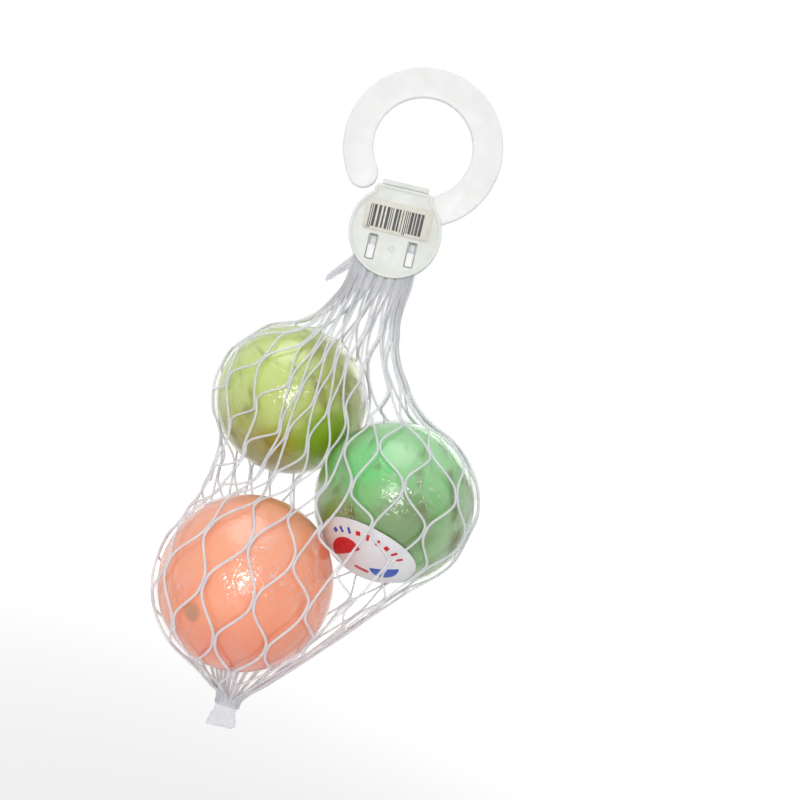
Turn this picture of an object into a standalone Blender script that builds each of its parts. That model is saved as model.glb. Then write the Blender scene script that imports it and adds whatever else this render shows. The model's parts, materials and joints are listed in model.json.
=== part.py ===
"""Mesh ball bag: three film-wrapped play balls in a knotless net, on a snap-shut plastic hanger.

Metres, +Z up. The bag hangs at rest. The origin is the point of the hanger's eye that rests on
a hook, +X is to the right and -Y is the front. Run it with: blender --background --python part.py
"""
import math

import bmesh
import bpy
from mathutils import Matrix, Vector

# ---- Hanger, in its own frame: x right, z up from the middle of its discs ----
RING_OUTER_R = 0.0327          # C-shaped hook ring
RING_INNER_R = 0.0203          # its eye
RING_SHIFT_X = 0.0030          # the ring's centre, to the right of the discs' middle
RING_DIP = 0.0012              # how far the eye dips under the discs' straight top edge
RING_THICKNESS = 0.0022
RING_TIP_DEG = 215.8           # where the open end of the C stops
RING_ROOT_DEG = -80.0          # where the ring is buried in the back disc
DISC_R = 0.0188                # both clip discs
DISC_TOP_CUT = 0.0010          # how far their straight top edge is under a full circle
DISC_TOP_HALF = 0.0120         # half its length
DISC_CORNER_R = 0.0025
BACK_THICKNESS = 0.0018
FRONT_THICKNESS = 0.0016       # front disc, without its rim
RIM_WIDTH = 0.0013
RIM_HEIGHT = 0.0004
SLOT_WIDTH = 0.0036            # two catch windows in the front disc
SLOT_LENGTH = 0.0103
SLOT_X = 0.0081
SLOT_Z = -0.0078
SLOT_CORNER_R = 0.0006
PRONG_SHARE = 0.62             # how much of a window's length its prong fills, from the bottom
HINGE_HALF = 0.0095            # living hinge between the discs' top edges
HINGE_FILM = 0.0005
LABEL_WIDTH = 0.0270
LABEL_HEIGHT = 0.0125
LABEL_Z = 0.0050
LABEL_THICKNESS = 0.00012
LABEL_CORNER_R = 0.0008

# ---- Pinched net, neck and bag ----
CLIP_NET_THICKNESS = 0.0012    # the net end, flattened between the discs
CLIP_NET_HALF = 0.0125
CLIP_NET_TOP = 0.0120          # its cut edge, over the discs' middle
CLIP_NET_BELOW = 0.0012        # how far it shows under the discs
CLIP_NET_SHARES = (0.80, 0.98) # of its half width, left and right, at that lower edge
TAIL_START_Z = -0.0108         # where a corner of the net leaves its left edge as a loose tail
TAIL = ((-0.0139, -0.0120), (-0.0236, -0.0240), (-0.0226, -0.0262), (-0.0146, -0.0174))
NECK_GAP = 0.0004              # between one length of net and the next
SWING_LENGTH = 0.0060          # the first length under the clip bends to the front and back
TWIST_LENGTH = 0.0090          # the second one twists
SWAY_DROP = 0.0050             # the third bend, below the second length's end
NECK_DROP = 0.0250             # clip edge to the highest ball's wrapping
NECK_START = (0.0128, 0.0010)  # half widths of the gathered net under the clip, x and y
NECK_BEND = (0.0148, 0.0022)   # where the twisting length starts
MOUTH_HALF_X = 0.0172          # where the bag proper starts
MOUTH_HALF_Y = 0.0048
FLARE_SHARE = 0.55             # how far the flare dips in: less is deeper
MOUTH_TAPER = 1.5              # how fast the inside narrows over the mouth, in skin thicknesses
NET_THICKNESS = 0.0008
SEAL_WIDTH = 0.0105            # welded end at the bottom
SEAL_DEPTH = 0.0030
SEAL_HEIGHT = 0.0085
SEAL_DROP = 0.0165             # lowest ball's net to the top of the weld
SEAL_SHIFT = (0.00585, 0.0130) # the weld's place from the lowest ball's middle, x and y
SEAL_CORNER_R = 0.0015

# ---- Balls ----
BALL_R = 0.0325
BALL_WALL = 0.0040
WRAP_THICKNESS = 0.0003        # clear film, taken double where it is gathered
WRAP_MOUTH_DEG = 86.0          # where the film's edge stands, up from the middle
STICKER_LENGTH = 0.0420
STICKER_WIDTH = 0.0310
STICKER_THICKNESS = 0.00012
STICKER_AIM_DEG = (-12.5, -40.5, 12.0)   # turn from the front, slope, roll
STEP_ONE_DEG = (-26.3, -22.4)  # first ball to second: turn from +X, then slope
STEP_TWO_DEG = (211.5, -39.3)  # second ball to third

CLEAR = 0.0003                 # between pieces that touch
MOULD_STEP = 0.0001            # keeps two faces that belong together out of one plane
SEAM_GAP = 0.0003              # between a ball's two halves
STICKER_CLEAR = 0.00015        # under the sticker
BALL_SEGMENTS = 24
STICKER_SEGMENTS = 32
STICKER_RINGS = 5
NET_SEGMENTS = 30
RING_SEGMENTS = 56
POLE_R = 1e-7                  # a smaller radius is a point on the axis

FACET = 1 / math.cos(math.pi / NET_SEGMENTS) ** 2      # keeps a faceted sphere outside a round one
WRAP_INNER_R = BALL_R + SEAM_GAP / 2 + CLEAR
WRAP_OUTER_R = WRAP_INNER_R + WRAP_THICKNESS
STICKER_BASE_R = WRAP_OUTER_R + STICKER_CLEAR
NET_INNER_R = STICKER_BASE_R + STICKER_THICKNESS + CLEAR
NET_OUTER_R = NET_INNER_R + NET_THICKNESS

LAYER = CLIP_NET_THICKNESS / 2 + CLEAR                 # net's middle to the inside of a disc
BACK_Y = (LAYER + MOULD_STEP, LAYER + MOULD_STEP + BACK_THICKNESS)
RING_Y = (LAYER, LAYER + RING_THICKNESS)
HINGE_Y = -LAYER + MOULD_STEP                          # on the front disc's inner edge
FRONT_FACE_Y = -LAYER - FRONT_THICKNESS                # front disc's sunk face
RIM_FACE_Y = FRONT_FACE_Y - RIM_HEIGHT

DISC_TOP = DISC_R - DISC_TOP_CUT
RING_RISE = DISC_TOP + RING_INNER_R - RING_DIP         # ring's centre over the discs' middle
RING_LEAN = math.atan2(RING_SHIFT_X, RING_RISE)        # brings the eye plumb over the discs
DISC_Z = -RING_INNER_R - math.hypot(RING_SHIFT_X, RING_RISE)
HANGER = Matrix.Translation((0, 0, DISC_Z)) @ Matrix.Rotation(-RING_LEAN, 4, "Y")
CLIP_EDGE_Z = DISC_Z - DISC_R


def clear_scene():
    """Remove every object, so that the script starts from nothing."""
    for obj in list(bpy.data.objects):
        bpy.data.objects.remove(obj, do_unlink=True)


def material(name, colour, roughness, alpha=1.0):
    """A Principled material."""
    mat = bpy.data.materials.new(name)
    mat.use_nodes = True
    shader = mat.node_tree.nodes["Principled BSDF"]
    shader.inputs["Base Color"].default_value = (*colour, 1)
    shader.inputs["Roughness"].default_value = roughness
    shader.inputs["Metallic"].default_value = 0.0
    shader.inputs["Alpha"].default_value = alpha
    return mat


def add_object(name, bm, mat=None, place=None):
    """Turn a bmesh into a named object, shaded smooth with sharp edges kept."""
    bmesh.ops.recalc_face_normals(bm, faces=bm.faces)
    mesh = bpy.data.meshes.new(name)
    bm.to_mesh(mesh)
    bm.free()
    if mat:
        mesh.materials.append(mat)
    mesh.shade_smooth()
    mesh.set_sharp_from_angle(angle=math.radians(35))
    obj = bpy.data.objects.new(name, mesh)
    bpy.context.scene.collection.objects.link(obj)
    if place is not None:
        obj.matrix_world = place
    return obj


def add_empty(name, location):
    """An empty on a joint's axis."""
    empty = bpy.data.objects.new(name, None)
    empty.location = location
    bpy.context.scene.collection.objects.link(empty)
    return empty


def hang_on(obj, parent):
    """Parent an object without moving it."""
    bpy.context.view_layer.update()
    world = obj.matrix_world.copy()
    obj.parent = parent
    obj.matrix_parent_inverse = parent.matrix_world.inverted()
    obj.matrix_world = world


def combine(obj, other, operation):
    """Boolean with another object, which is only a tool from then on."""
    modifier = obj.modifiers.new(operation.title(), "BOOLEAN")
    modifier.operation = operation
    modifier.solver = "EXACT"
    modifier.object = other
    other.hide_render = True
    other.display_type = "WIRE"


def arc(centre, radius, start_deg, end_deg, count):
    """Points along an arc in the x-z plane."""
    points = []
    for i in range(count + 1):
        angle = math.radians(start_deg + (end_deg - start_deg) * i / count)
        points.append((centre[0] + radius * math.cos(angle), centre[1] + radius * math.sin(angle)))
    return points


def slab(outline, y_front, y_back):
    """A flat closed solid of an x-z outline between two y values."""
    bm = bmesh.new()
    front = [bm.verts.new((x, y_front, z)) for x, z in outline]
    face = bm.faces.new(front)
    back = bmesh.ops.extrude_face_region(bm, geom=[face])["geom"]
    moved = [item for item in back if isinstance(item, bmesh.types.BMVert)]
    bmesh.ops.translate(bm, verts=moved, vec=(0, y_back - y_front, 0))
    return bm


def rounded_box(half_x, half_z, corner, centre=(0.0, 0.0), count=4):
    """Outline of a rectangle with round corners."""
    points = []
    for sign_x, sign_z, start in ((1, 1, 0), (-1, 1, 90), (-1, -1, 180), (1, -1, 270)):
        middle = (centre[0] + sign_x * (half_x - corner), centre[1] + sign_z * (half_z - corner))
        points += arc(middle, corner, start, start + 90, count)
    return points


def disc_outline():
    """A round disc whose top runs up to a straight edge with round corners."""
    side_deg = math.degrees(math.acos(DISC_TOP_HALF / DISC_R))
    inset = DISC_TOP_HALF - DISC_CORNER_R
    height = DISC_TOP - DISC_CORNER_R
    points = arc((0, 0), DISC_R, side_deg, -180 - side_deg, RING_SEGMENTS)
    points += arc((-inset, height), DISC_CORNER_R, 180, 90, 5)
    points += arc((inset, height), DISC_CORNER_R, 90, 0, 5)
    return points


def ring_outline():
    """The C: an arc band with a round free end."""
    centre = (RING_SHIFT_X, RING_RISE)
    middle_r = (RING_OUTER_R + RING_INNER_R) / 2
    tip = math.radians(RING_TIP_DEG)
    tip_centre = (centre[0] + middle_r * math.cos(tip), centre[1] + middle_r * math.sin(tip))
    tip_r = (RING_OUTER_R - RING_INNER_R) / 2
    points = arc(centre, RING_OUTER_R, RING_ROOT_DEG, RING_TIP_DEG, RING_SEGMENTS)
    points += arc(tip_centre, tip_r, RING_TIP_DEG, RING_TIP_DEG + 180, 10)[1:-1]
    points += arc(centre, RING_INNER_R, RING_TIP_DEG, RING_ROOT_DEG, RING_SEGMENTS)
    return points


def prong_outline(side, grow=0.0):
    """A catch prong's section, or its hole through the net."""
    half_x = SLOT_WIDTH / 2 - CLEAR
    half_z = SLOT_LENGTH * PRONG_SHARE / 2 - CLEAR
    middle_z = SLOT_Z - SLOT_LENGTH * (1 - PRONG_SHARE) / 2
    return rounded_box(half_x + grow, half_z + grow, SLOT_CORNER_R + grow, (side * SLOT_X, middle_z))


def make_hanger_plate(mat):
    """Ring, back disc and the two catch prongs, moulded in one."""
    plate = add_object("hanger_plate", slab(ring_outline(), *RING_Y), mat, HANGER)
    disc = add_object("back_disc_tool", slab(disc_outline(), *BACK_Y), None, HANGER)
    combine(plate, disc, "UNION")
    for side in (-1, 1):
        prong = slab(prong_outline(side), FRONT_FACE_Y + CLEAR, BACK_Y[0] + BACK_THICKNESS / 2)
        combine(plate, add_object(f"prong_tool_{side}", prong, None, HANGER), "UNION")
    return plate


def make_front_plate(mat):
    """Front disc with a raised rim and two catch windows."""
    bm = slab(disc_outline(), RIM_FACE_Y, -LAYER)
    bm.faces.ensure_lookup_table()
    face = min(bm.faces, key=lambda item: item.calc_center_median().y)
    bmesh.ops.inset_region(bm, faces=[face], thickness=RIM_WIDTH, depth=-RIM_HEIGHT)
    plate = add_object("front_plate", bm, mat, HANGER)
    for side in (-1, 1):
        outline = rounded_box(SLOT_WIDTH / 2, SLOT_LENGTH / 2, SLOT_CORNER_R, (side * SLOT_X, SLOT_Z))
        window = slab(outline, 2 * RIM_FACE_Y, 0.0)
        combine(plate, add_object(f"window_tool_{side}", window, None, HANGER), "DIFFERENCE")
    return plate


def make_living_hinge(mat):
    """Thin web that folds over the discs' top edges."""
    outer_r = (BACK_Y[1] + LAYER + FRONT_THICKNESS) / 2 - CLEAR
    middle_y = (BACK_Y[1] + FRONT_FACE_Y) / 2
    base_z = DISC_TOP + CLEAR
    over = arc((middle_y, base_z), outer_r, 0, 180, 12)
    under = arc((middle_y, base_z), outer_r - HINGE_FILM, 180, 0, 12)
    bm = bmesh.new()
    profile = [bm.verts.new((-HINGE_HALF, y, z)) for y, z in over + under]
    face = bm.faces.new(profile)
    new = bmesh.ops.extrude_face_region(bm, geom=[face])["geom"]
    moved = [item for item in new if isinstance(item, bmesh.types.BMVert)]
    bmesh.ops.translate(bm, verts=moved, vec=(2 * HINGE_HALF, 0, 0))
    return add_object("living_hinge", bm, mat, HANGER)


def make_label(mat):
    """Paper label on the front disc."""
    outline = rounded_box(LABEL_WIDTH / 2, LABEL_HEIGHT / 2, LABEL_CORNER_R, (0, LABEL_Z))
    back = FRONT_FACE_Y - CLEAR
    return add_object("barcode_label", slab(outline, back - LABEL_THICKNESS, back), mat, HANGER)


def make_clip_net(mat):
    """The net's end, pressed flat between the discs and pierced by the prongs."""
    left = -CLIP_NET_HALF * CLIP_NET_SHARES[0]
    right = CLIP_NET_HALF * CLIP_NET_SHARES[1]
    bottom = -DISC_R - CLIP_NET_BELOW
    lean = math.tan(RING_LEAN)
    outline = [(-CLIP_NET_HALF, TAIL_START_Z), (-CLIP_NET_HALF, CLIP_NET_TOP)]
    outline += [(CLIP_NET_HALF, CLIP_NET_TOP), (right, bottom - right * lean)]
    outline += [(left, bottom - left * lean)]
    outline += reversed(TAIL)
    half = CLIP_NET_THICKNESS / 2
    net = add_object("net_clip_end", slab(outline, -half, half), mat, HANGER)
    for side in (-1, 1):
        hole = slab(prong_outline(side, CLEAR), -2 * LAYER, 2 * LAYER)
        combine(net, add_object(f"net_hole_tool_{side}", hole, None, HANGER), "DIFFERENCE")
    return net


def oval_points(section):
    """One level oval: (z, x left, x right, y front, y back)."""
    z, left, right, front, back = section
    points = []
    for i in range(NET_SEGMENTS):
        angle = 2 * math.pi * i / NET_SEGMENTS
        x = (left + right) / 2 + (right - left) / 2 * math.cos(angle)
        y = (front + back) / 2 + (back - front) / 2 * math.sin(angle)
        points.append(Vector((x, y, z)))
    return points


def loft(sections):
    """Closed solid through level ovals."""
    bm = bmesh.new()
    rings = [[bm.verts.new(point) for point in oval_points(section)] for section in sections]
    for upper, lower in zip(rings, rings[1:]):
        for i in range(NET_SEGMENTS):
            j = (i + 1) % NET_SEGMENTS
            bm.faces.new((upper[i], upper[j], lower[j], lower[i]))
    bm.faces.new(rings[0])
    bm.faces.new(rings[-1])
    return bm


def step(angles_deg, length):
    """A vector of a given length from a turn and a slope."""
    turn, slope = (math.radians(value) for value in angles_deg)
    level = math.cos(slope) * length
    return Vector((math.cos(turn) * level, math.sin(turn) * level, math.sin(slope) * length))


def ball_centres():
    """Each ball touches the next one, and the three balance under the clip."""
    spacing = 2 * WRAP_OUTER_R + CLEAR
    centres = [Vector((0, 0, 0))]
    centres.append(centres[0] + step(STEP_ONE_DEG, spacing))
    centres.append(centres[1] + step(STEP_TWO_DEG, spacing))
    balance = sum(centres, Vector()) / len(centres)
    top = CLIP_EDGE_Z - NECK_DROP - NET_OUTER_R
    return [centre - Vector((balance.x, balance.y, -top)) for centre in centres]


def neck_levels():
    """Heights where one length of neck ends and the next starts."""
    top = CLIP_EDGE_Z - CLIP_NET_BELOW - NECK_GAP
    swing_end = top - SWING_LENGTH
    twist_end = swing_end - TWIST_LENGTH
    return top, swing_end, twist_end


def level_oval(z, half_x, half_y):
    """An oval about the Z axis."""
    return (z, -half_x, half_x, -half_y, half_y)


def make_neck(mat):
    """Two short lengths of gathered net, one under the other."""
    top, swing_end, twist_end = neck_levels()
    upper = [level_oval(top, *NECK_START), level_oval(swing_end, *NECK_BEND)]
    lower = [level_oval(swing_end - NECK_GAP, *NECK_BEND)]
    lower.append(level_oval(twist_end, MOUTH_HALF_X, MOUTH_HALF_Y))
    add_object("net_neck_upper", loft(upper), mat)
    add_object("net_neck_lower", loft(lower), mat)


def sphere_points(centre, radius):
    """Points spread over a sphere in level rings."""
    points = [centre + Vector((0, 0, radius)), centre - Vector((0, 0, radius))]
    levels = NET_SEGMENTS // 2
    for level in range(1, levels):
        slope = math.pi * level / levels
        r = radius * math.sin(slope)
        for i in range(NET_SEGMENTS):
            angle = 2 * math.pi * i / NET_SEGMENTS
            offset = Vector((r * math.cos(angle), r * math.sin(angle), radius * math.cos(slope)))
            points.append(centre + offset)
    return points


def hull_solid(points):
    """Closed solid of the convex hull of points."""
    bm = bmesh.new()
    for point in points:
        bm.verts.new(point)
    bmesh.ops.convex_hull(bm, input=bm.verts)
    loose = [vert for vert in bm.verts if not vert.link_faces]
    bmesh.ops.delete(bm, geom=loose, context="VERTS")
    return bm


def bag_points(centres, radius, inset):
    """Points of the taut skin over the balls, drawn down to the weld."""
    points = []
    for centre in centres:
        points += sphere_points(centre, radius * FACET)
    seal = seal_place(centres)
    for sign_x in (-1, 1):
        for sign_y in (-1, 1):
            corner = (sign_x * (SEAL_WIDTH / 2 - inset), sign_y * (SEAL_DEPTH / 2 - inset), inset)
            points.append(seal + Vector(corner))
    return points


def flare_points(centres, radius, inset):
    """Points of the flare from the neck, which dips in before it meets the balls.

    Its inside reaches a little above the mouth, and narrows there to stay within the wall.
    """
    z = neck_levels()[2] - NECK_GAP
    half_x = MOUTH_HALF_X - inset
    half_y = MOUTH_HALF_Y - inset
    points = oval_points(level_oval(z, half_x, half_y))
    if inset:
        taper = MOUTH_TAPER * inset
        points += oval_points(level_oval(z + inset, half_x - taper, half_y - taper))
    for centre in centres[:2]:
        points += sphere_points(centre, radius * FLARE_SHARE)
    return points


def seal_place(centres):
    """Middle of the weld's top face."""
    return centres[2] + Vector((*SEAL_SHIFT, -NET_OUTER_R - SEAL_DROP))


def make_net_body(centres, mat):
    """The open net as one thin skin, open at its neck."""
    body = add_object("net_body", hull_solid(bag_points(centres, NET_OUTER_R, 0.0)), mat)
    flare = hull_solid(flare_points(centres, NET_OUTER_R, 0.0))
    combine(body, add_object("flare_tool", flare), "UNION")
    inside = add_object("inside_tool", hull_solid(bag_points(centres, NET_INNER_R, NET_THICKNESS)))
    inner_flare = hull_solid(flare_points(centres, NET_INNER_R, NET_THICKNESS))
    combine(inside, add_object("inside_flare_tool", inner_flare), "UNION")
    combine(body, inside, "DIFFERENCE")
    return body


def make_seal(centres, mat):
    """The net's lower end, pressed and welded into a flat tab."""
    middle = seal_place(centres) - Vector((0, 0, SEAL_HEIGHT / 2 + CLEAR))
    outline = rounded_box(SEAL_WIDTH / 2, SEAL_HEIGHT / 2, SEAL_CORNER_R, (middle.x, middle.z))
    bm = slab(outline, middle.y - SEAL_DEPTH / 2, middle.y + SEAL_DEPTH / 2)
    return add_object("bottom_weld", bm, mat)


def turned(profile):
    """Closed solid turned about Z from a loop of r-z points; a point on the axis is a pole."""
    bm = bmesh.new()
    rings = []
    for radius, z in profile:
        count = 1 if radius < POLE_R else BALL_SEGMENTS
        ring = []
        for i in range(count):
            angle = 2 * math.pi * i / BALL_SEGMENTS
            ring.append(bm.verts.new((radius * math.cos(angle), radius * math.sin(angle), z)))
        rings.append(ring)
    for one, two in zip(rings, rings[1:] + rings[:1]):
        if len(one) == len(two) == 1:
            continue
        for i in range(BALL_SEGMENTS):
            j = (i + 1) % BALL_SEGMENTS
            corners = [one[i % len(one)], one[j % len(one)], two[j % len(two)], two[i % len(two)]]
            bm.faces.new(list(dict.fromkeys(corners)))
    return bm


def make_ball(name, centre, mat):
    """Two bonded rubber half shells, one over the other."""
    steps = BALL_SEGMENTS // 4
    bowl = arc((0, 0), BALL_R, 0, 90, steps)[:-1] + [(0.0, BALL_R)]
    bowl += [(0.0, BALL_R - BALL_WALL)] + arc((0, 0), BALL_R - BALL_WALL, 90, 0, steps)[1:]
    for half, sign in (("upper", 1), ("lower", -1)):
        profile = [(radius, sign * (z + SEAM_GAP / 2)) for radius, z in bowl]
        add_object(f"{name}_{half}_shell", turned(profile), mat, Matrix.Translation(centre))


def make_wrap(name, centre, mat):
    """Clear film around one ball, with the small mouth where it is twisted shut."""
    last = 90 - 360 / BALL_SEGMENTS
    steps = BALL_SEGMENTS // 2 - 1
    outside = [(0.0, -WRAP_OUTER_R)] + arc((0, 0), WRAP_OUTER_R, -90, last, steps)[1:]
    outside += arc((0, 0), WRAP_OUTER_R, WRAP_MOUTH_DEG, 90, 1)[:1]
    inside = arc((0, 0), WRAP_INNER_R, WRAP_MOUTH_DEG, 90, 1)[:1]
    inside += arc((0, 0), WRAP_INNER_R, last, -90, steps)[:-1] + [(0.0, -WRAP_INNER_R)]
    return add_object(name, turned(outside + inside), mat, Matrix.Translation(centre))


def make_sticker(name, centre, mat):
    """Oval sticker, curved over the wrap."""
    turn, slope, roll = (math.radians(value) for value in STICKER_AIM_DEG)
    aim = Matrix.Rotation(turn, 4, "Z") @ Matrix.Rotation(-slope, 4, "X")
    aim = aim @ Matrix.Rotation(roll, 4, "Y")
    bm = bmesh.new()
    layers = []
    for radius in (STICKER_BASE_R, STICKER_BASE_R + STICKER_THICKNESS):
        middle = bm.verts.new((0, -radius, 0))
        rings = []
        for ring_number in range(1, STICKER_RINGS + 1):
            share = ring_number / STICKER_RINGS
            ring = []
            for i in range(STICKER_SEGMENTS):
                angle = 2 * math.pi * i / STICKER_SEGMENTS
                across = share * STICKER_LENGTH / 2 * math.cos(angle) / radius
                up = share * STICKER_WIDTH / 2 * math.sin(angle) / radius
                bend = math.hypot(across, up)
                side = radius * math.sin(bend) / bend
                ring.append(bm.verts.new((across * side, -radius * math.cos(bend), up * side)))
            rings.append(ring)
        layers.append((middle, rings))
    for middle, rings in layers:
        for i in range(STICKER_SEGMENTS):
            j = (i + 1) % STICKER_SEGMENTS
            bm.faces.new((middle, rings[0][i], rings[0][j]))
            for one, two in zip(rings, rings[1:]):
                bm.faces.new((one[i], one[j], two[j], two[i]))
    rim_in, rim_out = layers[0][1][-1], layers[1][1][-1]
    for i in range(STICKER_SEGMENTS):
        j = (i + 1) % STICKER_SEGMENTS
        bm.faces.new((rim_in[i], rim_in[j], rim_out[j], rim_out[i]))
    return add_object(name, bm, mat, Matrix.Translation(centre) @ aim)


def build():
    """Make every piece and hang the moving ones on their joints' axes."""
    clear_scene()
    white = material("hanger_plastic", (0.86, 0.88, 0.86), 0.35)
    net = material("net_plastic", (0.84, 0.86, 0.90), 0.45)
    net_skin = material("net_skin", (0.84, 0.86, 0.90), 0.45, alpha=0.4)
    film = material("clear_film", (0.95, 0.95, 0.95), 0.08, alpha=0.25)
    paper = material("label_paper", (0.90, 0.90, 0.88), 0.6)
    rubbers = {
        "yellow": material("rubber_yellow", (0.55, 0.72, 0.10), 0.4),
        "green": material("rubber_green", (0.13, 0.62, 0.14), 0.4),
        "orange": material("rubber_orange", (1.0, 0.32, 0.13), 0.4),
    }
    make_hanger_plate(white)
    make_living_hinge(white)
    make_clip_net(net)
    clip_axis = add_empty("clip_axis", HANGER @ Vector((0, HINGE_Y, DISC_TOP + CLEAR)))
    hang_on(make_front_plate(white), clip_axis)
    hang_on(make_label(paper), clip_axis)
    make_neck(net)
    centres = ball_centres()
    bag_axis = add_empty("bag_axis", (0, 0, neck_levels()[2] - SWAY_DROP))
    hang_on(make_net_body(centres, net_skin), bag_axis)
    hang_on(make_seal(centres, net), bag_axis)
    for (colour, rubber), centre in zip(rubbers.items(), centres):
        make_ball(f"ball_{colour}", centre, rubber)
        make_wrap(f"wrap_{colour}", centre, film)
    make_sticker("sticker_green", centres[1], paper)


build()
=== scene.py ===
"""Looks of the mesh ball bag: a knotless net over three film-wrapped balls, on a moulded clip hanger.

Metres, +Z up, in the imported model's own frame: the origin is the point of the hanger's eye that
rests on a hook, +X is to the right and -Y is the front.
"""

import functools
import json
import math

import bmesh
import bpy
import numpy as np
from mathutils import Matrix, Vector, noise

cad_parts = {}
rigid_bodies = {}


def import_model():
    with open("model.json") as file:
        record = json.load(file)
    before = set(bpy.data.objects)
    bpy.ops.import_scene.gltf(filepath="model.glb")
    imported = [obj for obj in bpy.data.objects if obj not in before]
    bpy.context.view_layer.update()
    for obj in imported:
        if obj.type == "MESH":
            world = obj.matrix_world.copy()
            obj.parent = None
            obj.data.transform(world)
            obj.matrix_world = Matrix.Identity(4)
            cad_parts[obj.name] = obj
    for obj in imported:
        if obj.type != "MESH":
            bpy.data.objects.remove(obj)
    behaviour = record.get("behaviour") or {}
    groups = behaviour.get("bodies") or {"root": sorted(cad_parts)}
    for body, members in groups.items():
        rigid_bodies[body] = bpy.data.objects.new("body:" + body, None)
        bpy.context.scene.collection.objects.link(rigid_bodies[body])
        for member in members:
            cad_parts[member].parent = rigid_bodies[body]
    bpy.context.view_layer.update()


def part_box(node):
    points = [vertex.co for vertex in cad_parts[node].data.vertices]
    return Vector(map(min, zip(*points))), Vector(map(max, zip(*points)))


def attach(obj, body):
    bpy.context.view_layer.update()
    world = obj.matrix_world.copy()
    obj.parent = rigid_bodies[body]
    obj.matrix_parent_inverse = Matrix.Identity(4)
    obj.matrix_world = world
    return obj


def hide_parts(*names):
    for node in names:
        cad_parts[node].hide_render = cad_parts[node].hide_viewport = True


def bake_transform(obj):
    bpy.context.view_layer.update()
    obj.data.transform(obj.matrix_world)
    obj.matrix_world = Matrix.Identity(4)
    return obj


for leftover in list(bpy.data.objects):
    bpy.data.objects.remove(leftover, do_unlink=True)

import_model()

# ---- Hanger, in its own frame: x right, z up from the middle of its discs (sizes as in the CAD) ----
RING_OUTER_R = 0.0327
RING_INNER_R = 0.0203
RING_SHIFT_X = 0.0030
RING_RISE = 0.0369
RING_TIP_DEG = 215.8
RING_ROOT_DEG = -80.0
RING_Y = (0.0009, 0.0031)
DISC_R = 0.0188
DISC_TOP = 0.0178
DISC_TOP_HALF = 0.0120
DISC_CORNER_R = 0.0025
BACK_Y = (0.0010, 0.0028)
FRONT_INNER_Y = -0.0009
FRONT_FACE_Y = -0.0025
RIM_FACE_Y = -0.0029
RIM_WIDTH = 0.0013
MOULD_ROUND = 0.00035          # soft edge of a moulded part
MOULD_SHARP_DEG = 40
RING_ROUND = 0.0007
SLOT_HALF = (0.0018, 0.00515)
SLOT_CORNER_R = 0.0006
SLOT_X = 0.0081
SLOT_Z = -0.0078
PRONG_HALF = (0.0015, 0.00289)
PRONG_Z = -0.00976
PRONG_FACE_Y = -0.0022
GATE_R = 0.0016
GATE_CENTRE = (0.0, -0.0070)
HINGE_HALF = 0.0095
HINGE_R = 0.00235
HINGE_FILM = 0.0005
HINGE_Y = 0.00015
HINGE_Z = 0.0181
LABEL_HALF = (0.0135, 0.00625)
LABEL_Z = 0.0050
LABEL_Y = -0.0028
LABEL_THICKNESS = 0.00012
BARS_HALF_X = 0.01135
BARS_HALF_Z = 0.0045
BARS_CENTRE = (-0.0005, 0.0046)
BAR_MODULE = 0.00038           # the thinnest bar
GUARD_BARS = (0, 1, 11, 12, 22, 23)
GUARD_BAR_DROP = 0.0009
INK_THICKNESS = 0.00004

# ---- Net ----
STRAND_R = 0.00050
JOINT_R = 0.00058
JOINT_OFFSET = 0.00040         # each of a joint's two strands, from the joint's middle
JOINT_LENGTH = 0.0026
ARM_LENGTH = 0.0160
COLUMNS = 19
ROWS = 12
CLIP_ROW_Z = -0.0775           # the first row of joints, just under the clip
CLIP_ROW_HALF = (0.0123, 0.0009)
STAGGER = 0.25                 # columns' turn, so that the back layer shows between the front's strands
GATHER_SPREAD = 0.00066        # gathered strands of the neck, from the strand that each runs into
GATHER_END_Z = (-0.0965, -0.0850)
SEAL_ROW_HALF = (0.0044, 0.0013)
START_BULGE_R = 0.066          # the tube's radius before it is drawn tight
BULGE_RISE = 2.2               # how soon the tube reaches it
NET_REST_R = 0.03415           # strand's middle, from a ball's middle
ARM_HANDLE = 0.24              # of an arm's chord, kept straight at either end
ARM_LEAN = 0.7                 # how far an arm goes out to its own middle point
PINCH_TOP_Z = 0.0120           # where the net ends between the discs, hanger frame
PINCH_NARROWING = 0.07
PINCH_FLATNESS = 0.25
NECK_TOP_Z = -0.0773
SWING_END_Z = -0.0839
TWIST_END_Z = -0.0929
SWAY_END_Z = -0.1010
TAIL_EDGES = (                 # root, middle and tip, each its upper and lower side, hanger frame
    ((-0.0098, -0.0080), (-0.0105, -0.0145)),
    ((-0.0150, -0.0134), (-0.0156, -0.0176)),
    ((-0.0232, -0.0240), (-0.0226, -0.0258)),
)
TAIL_STRANDS = 6
TAIL_STRAND_R = 0.00055
SEAL_RISE = 0.0011             # the net's last joints, over the weld's own top
WELD_RISE = 0.0024             # how far the melted strands reach over it

# ---- Balls ----
BALL_R = 0.0325
SEAM_GAP = 0.0003
FILM_R = 0.03305
FILM_RELIEF = 0.00016
STICKER_R = 0.03342
STICKER_HALF = (0.0210, 0.0155)
STICKER_AIM_DEG = (-12.5, -40.5, 12.0)
STICKER_THICKNESS = 0.00008
STICKER_MARKS = 9
MARKS_HALF = (0.0160, 0.0110)  # of the oval that the marks stand on

CAMERA_PLACE = (0.0227, -0.3440, -0.1213)
CAMERA_ROLL_DEG = 17.9
CAMERA_LENS = 38.1
FLOOR_DROP = 0.14              # under the bag
FLOOR_HALF = 3.0
WHITE = (1.0, 1.0, 1.0, 1.0)
AMBIENT_STRENGTH = 0.42

RING_LEAN = math.atan2(RING_SHIFT_X, RING_RISE)
DISC_Z = -RING_INNER_R - math.hypot(RING_SHIFT_X, RING_RISE)
HANGER = Matrix.Translation((0, 0, DISC_Z)) @ Matrix.Rotation(-RING_LEAN, 4, "Y")


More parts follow.
